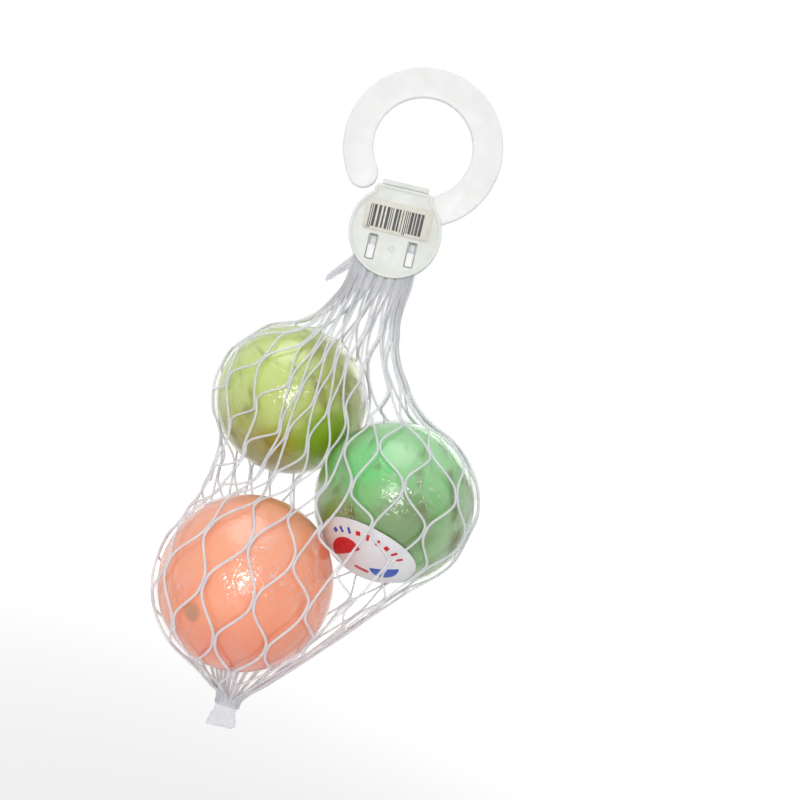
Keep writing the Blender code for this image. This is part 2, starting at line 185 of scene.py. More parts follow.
# ---- Mesh helpers ----
def add_object(name, verts, faces, mat, place=None, sharp_deg=None):
    """A mesh object, smooth, with edges over sharp_deg kept sharp."""
    mesh = bpy.data.meshes.new(name)
    mesh.from_pydata([tuple(v) for v in verts], [], faces)
    mesh.materials.append(mat)
    bm = bmesh.new()
    bm.from_mesh(mesh)
    bmesh.ops.recalc_face_normals(bm, faces=bm.faces)
    bm.to_mesh(mesh)
    bm.free()
    mesh.shade_smooth()
    if sharp_deg:
        mesh.set_sharp_from_angle(angle=math.radians(sharp_deg))
    obj = bpy.data.objects.new(name, mesh)
    bpy.context.scene.collection.objects.link(obj)
    if place is not None:
        obj.matrix_world = place
    return obj


def oval(half, centre=(0.0, 0.0), start_deg=0, end_deg=360, count=64):
    """Points round an oval in the x-z plane, or along a stretch of one."""
    points = []
    for i in range(count if end_deg - start_deg == 360 else count + 1):
        angle = math.radians(start_deg + (end_deg - start_deg) * i / count)
        points.append((centre[0] + half[0] * math.cos(angle), centre[1] + half[1] * math.sin(angle)))
    return points


def arc(centre, radius, start_deg, end_deg, count):
    """Points along an arc."""
    return oval((radius, radius), centre, start_deg, end_deg, count)


def rounded_box(half, corner, centre=(0.0, 0.0), count=5):
    """Outline of a rectangle with round corners."""
    points = []
    for sign_x, sign_z, start in ((1, 1, 0), (-1, 1, 90), (-1, -1, 180), (1, -1, 270)):
        middle = (centre[0] + sign_x * (half[0] - corner), centre[1] + sign_z * (half[1] - corner))
        points += arc(middle, corner, start, start + 90, count)
    return points


def inset(outline, distance):
    """A closed outline, drawn in by a distance, or out by a negative one."""
    area = sum(a[0] * b[1] - b[0] * a[1] for a, b in zip(outline, outline[1:] + outline[:1]))
    turn = 1 if area > 0 else -1
    result = []
    for before, here, after in zip(outline[-1:] + outline[:-1], outline, outline[1:] + outline[:1]):
        first = Vector((here[0] - before[0], here[1] - before[1])).normalized()
        second = Vector((after[0] - here[0], after[1] - here[1])).normalized()
        normal_a = Vector((-first.y, first.x)) * turn
        normal_b = Vector((-second.y, second.x)) * turn
        mitre = (normal_a + normal_b) / max(0.5, 1 + normal_a.dot(normal_b))
        result.append((here[0] + mitre.x * distance, here[1] + mitre.y * distance))
    return result


def band_faces(rings, count, base=0):
    """Faces between rings of count points each, the first of them at base."""
    faces = []
    for ring in range(rings - 1):
        low = base + ring * count
        for i in range(count):
            j = (i + 1) % count
            faces.append((low + i, low + j, low + count + j, low + count + i))
    return faces


def tube_faces(rings, count, base=0):
    """Faces of a closed tube: its bands, and a cap on either end."""
    last = base + (rings - 1) * count
    caps = [tuple(range(base, base + count)), tuple(range(last, last + count))]
    return band_faces(rings, count, base) + caps


def plate(name, outline, profile, mat, sharp_deg=None):
    """A plate in the hanger's frame: its outline drawn in by each step of (inset, y)."""
    verts = []
    for distance, y in profile:
        verts += [(x, y, z) for x, z in inset(outline, distance)]
    return add_object(name, verts, tube_faces(len(profile), len(outline)), mat, HANGER, sharp_deg)


def soft_edges(y_front, y_back, radius, steps=4):
    """A profile with both edges rounded."""
    profile = []
    for i in range(steps + 1):
        angle = math.pi / 2 * i / steps
        profile.append((radius * (1 - math.sin(angle)), y_front + radius * (1 - math.cos(angle))))
    for i in range(steps + 1):
        angle = math.pi / 2 * (1 - i / steps)
        profile.append((radius * (1 - math.sin(angle)), y_back - radius * (1 - math.cos(angle))))
    return profile


def combine(obj, tools, operation):
    """Exact booleans, applied, with their tools removed."""
    for tool in tools:
        modifier = obj.modifiers.new(operation.title(), "BOOLEAN")
        modifier.operation = operation
        modifier.solver = "EXACT"
        modifier.object = tool
    bpy.context.view_layer.update()
    done = bpy.data.meshes.new_from_object(obj.evaluated_get(bpy.context.evaluated_depsgraph_get()))
    obj.modifiers.clear()
    obj.data = done
    obj.data.shade_smooth()
    obj.data.set_sharp_from_angle(angle=math.radians(MOULD_SHARP_DEG))
    for tool in tools:
        bpy.data.objects.remove(tool, do_unlink=True)


def unit(vectors):
    """Rows scaled to length 1."""
    return vectors / (np.linalg.norm(vectors, axis=-1, keepdims=True) + 1e-12)


def tube_rings(path, radii, sides):
    """Rings of points round a path, turned as little as can be from one to the next."""
    tangents = unit(np.gradient(path, axis=0))
    across = np.cross(tangents[0], (0.0, 1.0, 0.0))
    if np.linalg.norm(across) < 0.1:
        across = np.cross(tangents[0], (1.0, 0.0, 0.0))
    angles = np.arange(sides) * 2 * math.pi / sides
    rings = []
    for point, tangent, radius in zip(path, tangents, radii):
        across = across - tangent * np.dot(across, tangent)
        across = across / np.linalg.norm(across)
        other = np.cross(tangent, across)
        rings.append(point + radius * (np.outer(np.cos(angles), across) + np.outer(np.sin(angles), other)))
    return np.array(rings)


def tubes_mesh(name, ring_sets, mat):
    """One object of closed tubes."""
    verts = []
    faces = []
    for rings in ring_sets:
        faces += tube_faces(*rings.shape[:2], len(verts))
        verts += rings.reshape(-1, 3).tolist()
    return add_object(name, verts, faces, mat, sharp_deg=60)


# ---- Materials ----
def colour(red, green, blue):
    """A colour given from 0 to 255 as a screen shows it."""
    def linear(value):
        value = value / 255
        return value / 12.92 if value <= 0.04045 else ((value + 0.055) / 1.055) ** 2.4
    return (linear(red), linear(green), linear(blue), 1.0)


class Nodes:
    """Short calls for the nodes of a material, or of a world, which has no shader of its own."""

    def __init__(self, owner):
        owner.use_nodes = True
        self.owner = owner
        self.tree = owner.node_tree
        self.shader = self.tree.nodes.get("Principled BSDF")

    @functools.cached_property
    def place(self):
        """A point's place in its object's frame."""
        return self.add("ShaderNodeTexCoord").outputs["Object"]

    def add(self, kind, inputs=None, **settings):
        """A node with its settings, and each input a value or another node's output."""
        node = self.tree.nodes.new(kind)
        for key, value in settings.items():
            setattr(node, key, value)
        for key, value in (inputs or {}).items():
            self.put(node.inputs[key], value)
        return node

    def put(self, socket, value):
        """A value or a link into a socket."""
        if isinstance(value, bpy.types.NodeSocket):
            self.tree.links.new(value, socket)
        else:
            socket.default_value = value

    def set(self, **values):
        """Sockets of the shader, with _ for a space."""
        for key, value in values.items():
            self.put(self.shader.inputs[key.replace("_", " ")], value)

    def noise(self, scale, detail=3.0, roughness=0.5, distortion=0.0, vector=None):
        """Noise from 0 to 1."""
        inputs = {"Vector": vector or self.place, "Scale": scale, "Detail": detail}
        inputs.update({"Roughness": roughness, "Distortion": distortion})
        return self.add("ShaderNodeTexNoise", inputs).outputs["Fac"]

    def span(self, value, low, high, to_low=0.0, to_high=1.0):
        """A value taken smoothly from one span to another."""
        inputs = {"Value": value, "From Min": low, "From Max": high, "To Min": to_low, "To Max": to_high}
        node = self.add("ShaderNodeMapRange", inputs, interpolation_type="SMOOTHSTEP")
        return node.outputs["Result"]

    def maths(self, operation, first, second=0.0):
        """One sum."""
        return self.add("ShaderNodeMath", {0: first, 1: second}, operation=operation).outputs[0]

    def mix(self, factor, first, second):
        """Two colours mixed."""
        return self.add("ShaderNodeMix", {0: factor, 6: first, 7: second}, data_type="RGBA").outputs[2]

    def towards(self, direction, low, high, wobble, wobble_scale):
        """1 on the side of a ball that faces a direction, 0 away from it, with a wandering edge."""
        normal = self.add("ShaderNodeVectorMath", {0: self.place}, operation="NORMALIZE").outputs[0]
        dot = self.add("ShaderNodeVectorMath", {0: normal, 1: direction}, operation="DOT_PRODUCT")
        shift = self.maths("MULTIPLY", self.maths("SUBTRACT", self.noise(wobble_scale), 0.5), wobble)
        return self.span(self.maths("ADD", dot.outputs["Value"], shift), low, high)

    def bump(self, height, distance, strength=1.0):
        """A normal from a height."""
        inputs = {"Height": height, "Distance": distance, "Strength": strength}
        return self.add("ShaderNodeBump", inputs).outputs["Normal"]

    def white_to_camera(self, white, other, output):
        """Show one shader to camera, glossy and transmission rays, and the other to the rest."""
        rays = self.add("ShaderNodeLightPath").outputs
        share = rays["Is Camera Ray"]
        for kind in ("Is Glossy Ray", "Is Transmission Ray"):
            share = self.maths("MAXIMUM", share, rays[kind])
        mix = self.add("ShaderNodeMixShader", {0: share, 1: other.outputs[0], 2: white.outputs[0]})
        self.put(self.tree.nodes[output].inputs["Surface"], mix.outputs[0])


def new_material(name):
    """A new material's nodes."""
    return Nodes(bpy.data.materials.new(name))


def hanger_plastic(name, light, shade):
    """Satin moulded polypropylene: faint flow clouding, fine grain and a little wear."""
    nodes = new_material(name)
    cloud = nodes.noise(110.0, 2.0)
    grain = nodes.noise(2600.0, 2.0)
    nodes.set(Base_Color=nodes.mix(nodes.span(cloud, 0.35, 0.65), light, shade))
    nodes.set(Roughness=nodes.span(nodes.noise(420.0), 0.3, 0.7, 0.34, 0.46))
    nodes.set(Normal=nodes.bump(grain, 0.00003, 0.5))
    nodes.set(Subsurface_Weight=0.12, Subsurface_Scale=0.0012, Specular_IOR_Level=0.4)
    return nodes.owner


def net_plastic():
    """Milky extruded strand: streaked along its length and a little translucent."""
    nodes = new_material("net_strand_plastic")
    cloud = nodes.noise(260.0, 2.0)
    fine = nodes.noise(2200.0, 2.0)
    tint = nodes.mix(nodes.span(cloud, 0.3, 0.7), colour(248, 249, 252), colour(236, 238, 247))
    nodes.set(Base_Color=tint)
    nodes.set(Roughness=nodes.span(fine, 0.3, 0.7, 0.30, 0.44))
    nodes.set(Normal=nodes.bump(fine, 0.00003, 0.5))
    nodes.set(Alpha=0.60)
    nodes.set(Subsurface_Weight=0.30, Subsurface_Scale=0.0010, Subsurface_Radius=(1.0, 1.0, 1.0))
    return nodes.owner


def paper(name, light, shade, roughness):
    """Printed paper: fibre clouding and a slight tooth."""
    nodes = new_material(name)
    fibre = nodes.noise(900.0, 4.0, 0.7)
    nodes.set(Base_Color=nodes.mix(nodes.span(fibre, 0.35, 0.7), light, shade))
    nodes.set(Roughness=nodes.span(fibre, 0.3, 0.7, roughness, roughness + 0.1))
    nodes.set(Normal=nodes.bump(nodes.noise(3200.0), 0.00002, 0.4))
    return nodes.owner


def ink(name, tone, worn, roughness=0.4):
    """Printed ink, thinner in places."""
    nodes = new_material(name)
    patch = nodes.span(nodes.noise(1400.0, 3.0), 0.45, 0.75)
    nodes.set(Base_Color=nodes.mix(patch, tone, worn))
    nodes.set(Roughness=nodes.span(nodes.noise(700.0), 0.3, 0.7, roughness, roughness + 0.12))
    return nodes.owner


def seen(right, up, toward):
    """A direction as the photograph's viewer names it, in the bag's own frame."""
    roll = math.radians(CAMERA_ROLL_DEG)
    x = right * math.cos(roll) - up * math.sin(roll)
    z = right * math.sin(roll) + up * math.cos(roll)
    return tuple(Vector((x, -toward, z)).normalized())


def crinkle_height(nodes, scale):
    """Folds with sharp creases, as in gathered film."""
    wave = nodes.noise(scale, 2.0, 0.5, 1.4)
    crease = nodes.maths("ABSOLUTE", nodes.maths("SUBTRACT", nodes.noise(scale * 1.7, 3.0, 0.6, 0.8), 0.5))
    return nodes.maths("ADD", wave, crease)


def rubber(name, base, zones, gloss_side):
    """Smooth coloured rubber under gathered film: zones of another tone, some of them painted light, shade
    and reflections, with mottling and crinkled gloss.
    """
    nodes = new_material(name)
    tone = nodes.mix(nodes.span(nodes.noise(75.0, 3.0, 0.6), 0.35, 0.68), base[0], base[1])
    # Some zones paint light from above, shade underneath and reflections; the rest are the rubber's own
    # tone.
    for direction, low, high, other, share, wobble, scale in zones:
        factor = nodes.towards(direction, low, high, wobble, scale)
        tone = nodes.mix(nodes.maths("MULTIPLY", factor, share), tone, other)
    speckle = nodes.span(nodes.noise(520.0, 4.0, 0.7), 0.66, 0.76)
    tone = nodes.mix(nodes.maths("MULTIPLY", speckle, 0.25), tone, base[2])
    nodes.set(Base_Color=tone)
    nodes.set(Roughness=nodes.span(nodes.noise(150.0), 0.3, 0.7, 0.36, 0.52))
    near = nodes.towards(gloss_side, 0.80, 0.97, 0.25, 90.0)
    height = nodes.maths("MULTIPLY", crinkle_height(nodes, 200.0), nodes.span(near, 0.0, 1.0, 0.45, 1.0))
    nodes.set(Coat_Normal=nodes.bump(height, 0.00042, 1.0))
    nodes.set(Normal=nodes.bump(nodes.noise(210.0, 3.0), 0.0005, 0.35))
    nodes.set(Coat_Weight=1.0, Coat_Roughness=0.05, Coat_IOR=1.85)
    nodes.set(Subsurface_Weight=0.08, Subsurface_Scale=0.003)
    return nodes.owner


def film(name, haze, crease_tone, axis, streak_share):
    """Clear film: nearly unseen between its folds, milky or tinted along them, glossy all over; its white
    crease lines are painted highlights.
    """
    nodes = new_material(name)
    turn = Vector(axis).to_track_quat("Z", "Y").inverted().to_euler()
    turned = nodes.add("ShaderNodeMapping", {"Vector": nodes.place, "Rotation": turn})
    parts = nodes.add("ShaderNodeSeparateXYZ", {0: turned.outputs[0]})
    longitude = nodes.maths("ARCTAN2", parts.outputs[1], parts.outputs[0])
    along = nodes.maths("MULTIPLY", parts.outputs[2], 14.0)
    run = nodes.add("ShaderNodeCombineXYZ", {0: longitude, 1: along}).outputs[0]
    streak = nodes.noise(4.2, 2.0, 0.5, 0.3, run)
    patch = nodes.span(nodes.noise(45.0, 2.0), 0.34, 0.54)
    fold = nodes.maths("MULTIPLY", nodes.span(streak, 0.50, 0.64), patch)
    # White lines along the creases, in random patches: painted highlights of crinkled film.
    line = nodes.maths("ABSOLUTE", nodes.maths("SUBTRACT", nodes.noise(160.0, 3.0, 0.6, 1.0), 0.5))
    gather = nodes.span(nodes.noise(38.0, 1.0), 0.50, 0.66)
    crease = nodes.maths("MULTIPLY", nodes.span(line, 0.016, 0.0), gather)
    edge = nodes.add("ShaderNodeLayerWeight", {"Blend": 0.25}).outputs["Facing"]
    rim = nodes.span(edge, 0.55, 1.0, 0.0, 0.14)
    alpha = nodes.maths("ADD", nodes.maths("MULTIPLY", fold, streak_share), 0.05)
    alpha = nodes.maths("ADD", alpha, rim)
    alpha = nodes.maths("ADD", alpha, nodes.maths("MULTIPLY", crease, 0.45))
    tint = nodes.mix(fold, haze, crease_tone)
    # The crease lines are coloured white as painted highlights.
    nodes.set(Base_Color=nodes.mix(crease, tint, colour(252, 253, 250)))
    nodes.set(Alpha=alpha)
    nodes.set(Normal=nodes.bump(crinkle_height(nodes, 190.0), 0.0012, 0.7))
    nodes.set(Roughness=0.10, Specular_IOR_Level=0.9)
    return nodes.owner


# ---- Hanger and clip ----
def disc_outline(count=72):
    """A round disc whose top runs up to a straight edge with round corners."""
    side_deg = math.degrees(math.acos(DISC_TOP_HALF / DISC_R))
    inner = DISC_TOP_HALF - DISC_CORNER_R
    height = DISC_TOP - DISC_CORNER_R
    points = arc((0, 0), DISC_R, side_deg, -180 - side_deg, count)
    points += arc((-inner, height), DISC_CORNER_R, 180, 90, 7)
    points += arc((inner, height), DISC_CORNER_R, 90, 0, 7)
    return points


def ring_outline():
    """The C: an arc band with a round free end."""
    centre = (RING_SHIFT_X, RING_RISE)
    middle_r = (RING_OUTER_R + RING_INNER_R) / 2
    tip = math.radians(RING_TIP_DEG)
    tip_centre = (centre[0] + middle_r * math.cos(tip), centre[1] + middle_r * math.sin(tip))
    tip_r = (RING_OUTER_R - RING_INNER_R) / 2
    points = arc(centre, RING_OUTER_R, RING_ROOT_DEG, RING_TIP_DEG, 110)
    points += arc(tip_centre, tip_r, RING_TIP_DEG, RING_TIP_DEG + 180, 20)[1:-1]
    points += arc(centre, RING_INNER_R, RING_TIP_DEG, RING_ROOT_DEG, 90)
    return points


def make_hanger(mat):
    """Ring, back disc and the two catch prongs, moulded in one."""
    hanger = plate("moulded_hanger", ring_outline(), soft_edges(*RING_Y, RING_ROUND), mat)
    tools = [plate("back_disc", disc_outline(), soft_edges(*BACK_Y, MOULD_ROUND), mat)]
    for side in (-1, 1):
        outline = rounded_box(PRONG_HALF, SLOT_CORNER_R, (side * SLOT_X, PRONG_Z))
        profile = soft_edges(PRONG_FACE_Y, (BACK_Y[0] + BACK_Y[1]) / 2, MOULD_ROUND)
        tools.append(plate(f"prong_{side}", outline, profile, mat))
    combine(hanger, tools, "UNION")
    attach(hanger, "hanger")
    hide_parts("hanger_plate")


def cover_profile():
    """The front disc from its back face to its sunk front, over the raised rim."""
    edge = MOULD_ROUND
    profile = [(edge * 0.5, FRONT_INNER_Y), (0.0, FRONT_INNER_Y - edge * 0.5)]
    for i in range(5):
        angle = math.pi / 2 * i / 4
        profile.append((edge * (1 - math.cos(angle)), RIM_FACE_Y + edge * (1 - math.sin(angle))))
    step = FRONT_FACE_Y - RIM_FACE_Y
    for share in (0.0, 0.25, 0.5, 0.75, 1.0):
        eased = share * share * (3 - 2 * share)
        profile.append((RIM_WIDTH - step * (1 - 2 * share), RIM_FACE_Y + step * eased))
    return profile


def make_cover(mat):
    """Front disc with a raised rim, two catch windows and the mark of its moulding gate."""
    cover = plate("clip_cover", disc_outline(), cover_profile(), mat)
    tools = []
    chamfer = 0.0003
    for side in (-1, 1):
        outline = rounded_box(SLOT_HALF, SLOT_CORNER_R, (side * SLOT_X, SLOT_Z))
        profile = [(-3 * chamfer, FRONT_FACE_Y - 2 * chamfer), (0.0, FRONT_FACE_Y + chamfer)]
        profile += [(0.0, -FRONT_INNER_Y)]
        tools.append(plate(f"window_{side}", outline, profile, mat))
    combine(cover, tools, "DIFFERENCE")
    height = 0.00018
    steps = ((0.0, 1.0), (0.0, -0.4), (0.00012, -1.0), (0.0005, -1.0), (0.0007, -0.2))
    mark = [(distance, FRONT_FACE_Y + height * share) for distance, share in steps]
    gate = plate("gate_mark", arc(GATE_CENTRE, GATE_R, 0, 345, 23), mark, mat, sharp_deg=50)
    for piece in (cover, gate):
        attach(piece, "clip_front")
    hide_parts("front_plate")


def make_hinge(mat):
    """The thin web over the discs' top edges, with a slight crease along its middle."""
    crease_depth = 0.00008
    crease_width = 0.25            # radians
    steps = 28
    outer = []
    under = []
    for i in range(steps + 1):
        angle = math.pi * i / steps
        way = Vector((math.cos(angle), math.sin(angle)))
        outer.append(way * (HINGE_R - crease_depth * math.exp(-((angle - math.pi / 2) / crease_width) ** 2)))
        under.append(way * (HINGE_R - HINGE_FILM))
    section = outer + under[::-1]
    end_round = 0.0002
    end_share = 0.7                # of the web's thickness, at its very ends
    straight = HINGE_HALF - end_round
    pieces = 12
    across = [(-straight + 2 * straight * i / pieces, 1.0) for i in range(pieces + 1)]
    across = [(-HINGE_HALF, end_share), *across, (HINGE_HALF, end_share)]
    verts = []
    for x, share in across:
        for radial in section:
            centre = radial.normalized() * (HINGE_R - HINGE_FILM / 2)
            point = centre + (radial - centre) * share
            verts.append((x, HINGE_Y + point.x, HINGE_Z + point.y))
    faces = tube_faces(len(across), len(section))
    hinge = add_object("hinge_web", verts, faces, mat, HANGER, sharp_deg=50)
    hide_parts("living_hinge")
    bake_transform(hinge)


def make_label(mat, bar_mat):
    """Paper label with generic bars."""
    outline = rounded_box(LABEL_HALF, 0.0008, (0, LABEL_Z))
    round_off = LABEL_THICKNESS * 0.3
    face_y = LABEL_Y - LABEL_THICKNESS
    profile = [(0.0, LABEL_Y), (0.0, face_y + round_off), (round_off, face_y)]
    label = plate("barcode_paper", outline, profile, mat, sharp_deg=50)
    rng = np.random.default_rng(7)
    verts = []
    faces = []
    x = -BARS_HALF_X
    index = 0
    while x < BARS_HALF_X - BAR_MODULE:
        width = BAR_MODULE * (1 if index in GUARD_BARS else int(rng.integers(1, 4)))
        gap = BAR_MODULE * (1 if index in GUARD_BARS else int(rng.integers(1, 3)))
        drop = GUARD_BAR_DROP if index in GUARD_BARS else 0.0
        low = BARS_CENTRE[1] - BARS_HALF_Z - drop
        high = BARS_CENTRE[1] + BARS_HALF_Z
        left = BARS_CENTRE[0] + x
        right = min(left + width, BARS_CENTRE[0] + BARS_HALF_X)
        faces += tube_faces(2, 4, len(verts))
        for y in (face_y, face_y - INK_THICKNESS):
            verts += [(left, y, low), (right, y, low), (right, y, high), (left, y, high)]
        x += width + gap
        index += 1
    bars = add_object("barcode_bars", verts, faces, bar_mat, HANGER, sharp_deg=30)
    for piece in (label, bars):
        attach(piece, "clip_front")
    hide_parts("barcode_label")


# ---- Net ----
def net_start(seal):
    """Joints' top and bottom ends on a wide tube between the clip and the weld, and the net's arms."""
    top = np.zeros((ROWS + 1, COLUMNS, 3))
    bottom = np.zeros((ROWS + 1, COLUMNS, 3))
    for row in range(ROWS + 1):
        share = row / ROWS
        bulge = min(1.0, BULGE_RISE * math.sin(math.pi * share))
        middle = np.array((0.0, 0.0, CLIP_ROW_Z)) * (1 - share) + seal * share
        half = np.array(CLIP_ROW_HALF) * (1 - share) + np.array(SEAL_ROW_HALF) * share
        half = half * (1 - bulge) + START_BULGE_R * bulge
        rise = np.array((0.0, 0.0, JOINT_LENGTH / 2 * (1.0 if row in (0, ROWS) else 0.8)))
        for column in range(COLUMNS):
            angle = 2 * math.pi * (column + STAGGER + 0.5 * (row % 2)) / COLUMNS
            spot = middle + (half[0] * math.cos(angle), half[1] * math.sin(angle), 0.0)
            top[row, column] = spot + rise
            bottom[row, column] = spot - rise
    arms = []
    for row in range(ROWS):
        for column in range(COLUMNS):
            minus = (column - 1) % COLUMNS if row % 2 == 0 else column
            plus = column if row % 2 == 0 else (column + 1) % COLUMNS
            for below in (minus, plus):
                arms.append((row * COLUMNS + column, (row + 1) * COLUMNS + below))
    return top.reshape(-1, 3), bottom.reshape(-1, 3), np.array(arms)


def relax_net(seal, centres, steps=700):
    """Draw the net tight over the balls: its joints are rigid, and its arms hold their length."""
    top, bottom, arms = net_start(seal)
    joints = len(top)
    points = np.concatenate([top, bottom, (bottom[arms[:, 0]] + top[arms[:, 1]]) / 2])
    middles = 2 * joints + np.arange(len(arms))
    first = np.concatenate([np.arange(joints), joints + arms[:, 0], middles, joints + arms[:, 0]])
    second = np.concatenate([joints + np.arange(joints), middles, arms[:, 1], arms[:, 1]])
    counts = [joints, 2 * len(arms), len(arms)]
    longest = np.repeat([JOINT_LENGTH, ARM_LENGTH / 2, ARM_LENGTH], counts)
    shortest = longest * np.repeat([1.0, 0.92, 0.93], counts)
    free = np.ones(len(points))
    for held in (0, ROWS):
        row = held * COLUMNS + np.arange(COLUMNS)
        free[row] = 0.0
        free[joints + row] = 0.0
    ends = np.concatenate([first, second])
    shared = np.bincount(ends, minlength=len(points)).astype(float)
    both = np.maximum(free[first] + free[second], 1.0)

    def spread(pushes):
        result = np.empty_like(points)
        for axis in range(3):
            result[:, axis] = np.bincount(first, pushes[:, axis] * free[first], len(points))
            result[:, axis] -= np.bincount(second, pushes[:, axis] * free[second], len(points))
        return result

    tension = 0.00015
    last_tension = 0.00002
    suction = 0.2
    suction_floor = -0.185         # height where the pull on to the balls begins, over suction_fade
    suction_fade = 0.025
    reach = 0.001
    over_relaxing = 1.4
    for step in range(steps):
        left = 1 - step / steps
        pull = tension * min(1.0, 2 * left) + last_tension
        points = points + spread(unit(points[second] - points[first])) * pull
        gaps = np.linalg.norm(points[:, None] - centres[None], axis=2) - NET_REST_R
        nearest = gaps.argmin(1)
        inward = unit(centres[nearest] - points)
        hold = np.clip((points[:, 2] - suction_floor) / suction_fade, 0, 1) * free
        draw = suction * np.clip(gaps.min(1), 0, reach) * hold * (0.5 + 0.5 * left)
        points = points + inward * draw[:, None]
        for _ in range(3):
            away = points[second] - points[first]
            length = np.linalg.norm(away, axis=1) + 1e-12
            error = np.where(length > longest, length - longest, np.minimum(length - shortest, 0.0))
            change = spread((error / length / both)[:, None] * away) / shared[:, None]
            points = points + over_relaxing * change
        points = push_out(points, centres, free > 0)
    top = points[:joints].reshape(ROWS + 1, COLUMNS, 3)
    bottom = points[joints:2 * joints].reshape(ROWS + 1, COLUMNS, 3)
    middle = {tuple(arm): point for arm, point in zip(arms.tolist(), points[2 * joints:])}
    return top, bottom, middle


def push_out(points, centres, movable):
    """Points inside a ball's wrapping come out to the net's own radius."""
    for centre in centres:
        away = points - centre
        distance = np.linalg.norm(away, axis=1)
        inside = (distance < NET_REST_R) & movable
        points[inside] = centre + away[inside] * (NET_REST_R / distance[inside])[:, None]
    return points


def arm_curve(start, start_way, end, end_way, middle, count):
    """A smooth arm that leaves and enters its joints along them and leans to its middle point."""
    chord = np.linalg.norm(end - start)
    handle = ARM_HANDLE * chord
    share = np.linspace(0, 1, count + 1)[1:, None]
    control_a = start + start_way * handle
    control_b = end - end_way * handle
    curve = (1 - share) ** 3 * start + 3 * (1 - share) ** 2 * share * control_a
    curve = curve + 3 * (1 - share) * share ** 2 * control_b + share ** 3 * end
    half_way = (start + 3 * control_a + 3 * control_b + end) / 8
    return curve + 4 * share * (1 - share) * (middle - half_way) * ARM_LEAN


def pinch_path(point, count=26):
    """A strand's way up between the discs, past the prongs, from its top joint."""
    local = HANGER.inverted() @ Vector(point)
    room = PRONG_HALF[0] + STRAND_R + 0.0002     # from a prong's middle to the strand's
    detour = SLOT_HALF[1] + 0.0030               # where the way round a prong begins
    easing = 0.0020
    path = []
    for i in range(count):
        share = i / count
        z = PINCH_TOP_Z + (local.z - PINCH_TOP_Z) * share
        x = local.x * (1 - PINCH_NARROWING * (1 - share))
        y = local.y * (PINCH_FLATNESS + (1 - PINCH_FLATNESS) * share ** 2)
        for side in (-1, 1):
            offset = x - side * SLOT_X
            if abs(offset) < room:
                near = min(1.0, max(0.0, (detour - abs(z - SLOT_Z)) / easing))
                x += (math.copysign(room, offset) - offset) * near * near * (3 - 2 * near)
        path.append(tuple(HANGER @ Vector((x, y, z))))
    return path


def passed(row, column, side):
    """The column of the joint that a strand passes at a row, and the side on which it passes."""
    if row % 2 == 0:
        return column, side
    return (column if side > 0 else (column - 1) % COLUMNS), -side


def strand_paths(centres, seal):
    """Each strand from between the discs to the weld, and its radius at each point."""
    top, bottom, middle = relax_net(seal, centres)
    across = np.roll(top + bottom, -1, axis=1) - np.roll(top + bottom, 1, axis=1)
    along = unit(bottom - top)
    across = unit(across - along * (across * along).sum(2, keepdims=True))
    rng = np.random.default_rng(5)
    paths = []
    for column in range(COLUMNS):
        for side in (1, -1):
            path = []
            radii = []
            for row in range(ROWS + 1):
                here, turn = passed(row, column, side)
                offset = across[row, here] * JOINT_OFFSET * turn
                start = top[row, here] + offset
                end = bottom[row, here] + offset
                if row == 0:
                    path += pinch_path(start)
                    radii += [STRAND_R] * len(path)
                    path.append(start)
                    radii.append(STRAND_R)
                for share in (0.33, 0.67, 1.0):
                    path.append(start + (end - start) * share)
                    radii.append(JOINT_R)
                if row == ROWS:
                    break
                below, turn = passed(row + 1, column, side)
                next_offset = across[row + 1, below] * JOINT_OFFSET * turn
                key = (row * COLUMNS + here, (row + 1) * COLUMNS + below)
                shift = (offset + next_offset) / 2
                curve = arm_curve(end, along[row, here], top[row + 1, below] + next_offset,
                                  along[row + 1, below], middle[key] + shift, 10)
                path += list(curve)
                radii += [STRAND_R] * 9 + [JOINT_R]
            path = np.array([tuple(point) for point in path])
            radii = np.array(radii)
            below_clip = path[:, 2] < SWING_END_Z
            for _ in range(2):
                path[1:-1] = (path[:-2] + 2 * path[1:-1] + path[2:]) / 4
                radii[1:-1] = (radii[:-2] + 2 * radii[1:-1] + radii[2:]) / 4
                path = push_out(path, centres, below_clip)
            paths.append((path, radii))
            spread = across[0, column] * side * GATHER_SPREAD
            paths.append(gathered_strand(path, spread, rng.uniform(*GATHER_END_Z), rng.uniform(-1, 1)))
    return paths


def gathered_strand(path, spread, end_z, bend):
    """A strand of the net's closed cells over the balls: it leaves the clip by another and runs into it."""
    count = int(np.argmax(path[:, 2] < end_z))
    share = np.clip((path[0, 2] - path[:count, 2]) / (path[0, 2] - end_z), 0, 1)
    let_go = 0.55
    bow = 0.00035
    hold = 1 - np.clip((share - let_go) / (1 - let_go), 0, 1) ** 1.6
    beside = path[:count] + spread * hold[:, None]
    beside[:, 1] += bow * bend * np.sin(math.pi * share)
    return beside, np.full(count, STRAND_R * 0.9)


def cut_at(path, radii, planes):
    """The path with a point put in where it first goes under each plane, and those points' places."""
    cuts = []
    for plane in planes:
        if path[-1, 2] > plane:
            break
        under = int(np.argmax(path[:, 2] < plane))
        above, below = path[under - 1], path[under]
        share = (above[2] - plane) / (above[2] - below[2])
        path = np.insert(path, under, above + (below - above) * share, axis=0)
        radii = np.insert(radii, under, radii[under - 1] + (radii[under] - radii[under - 1]) * share)
        cuts.append(under)
    return path, radii, cuts


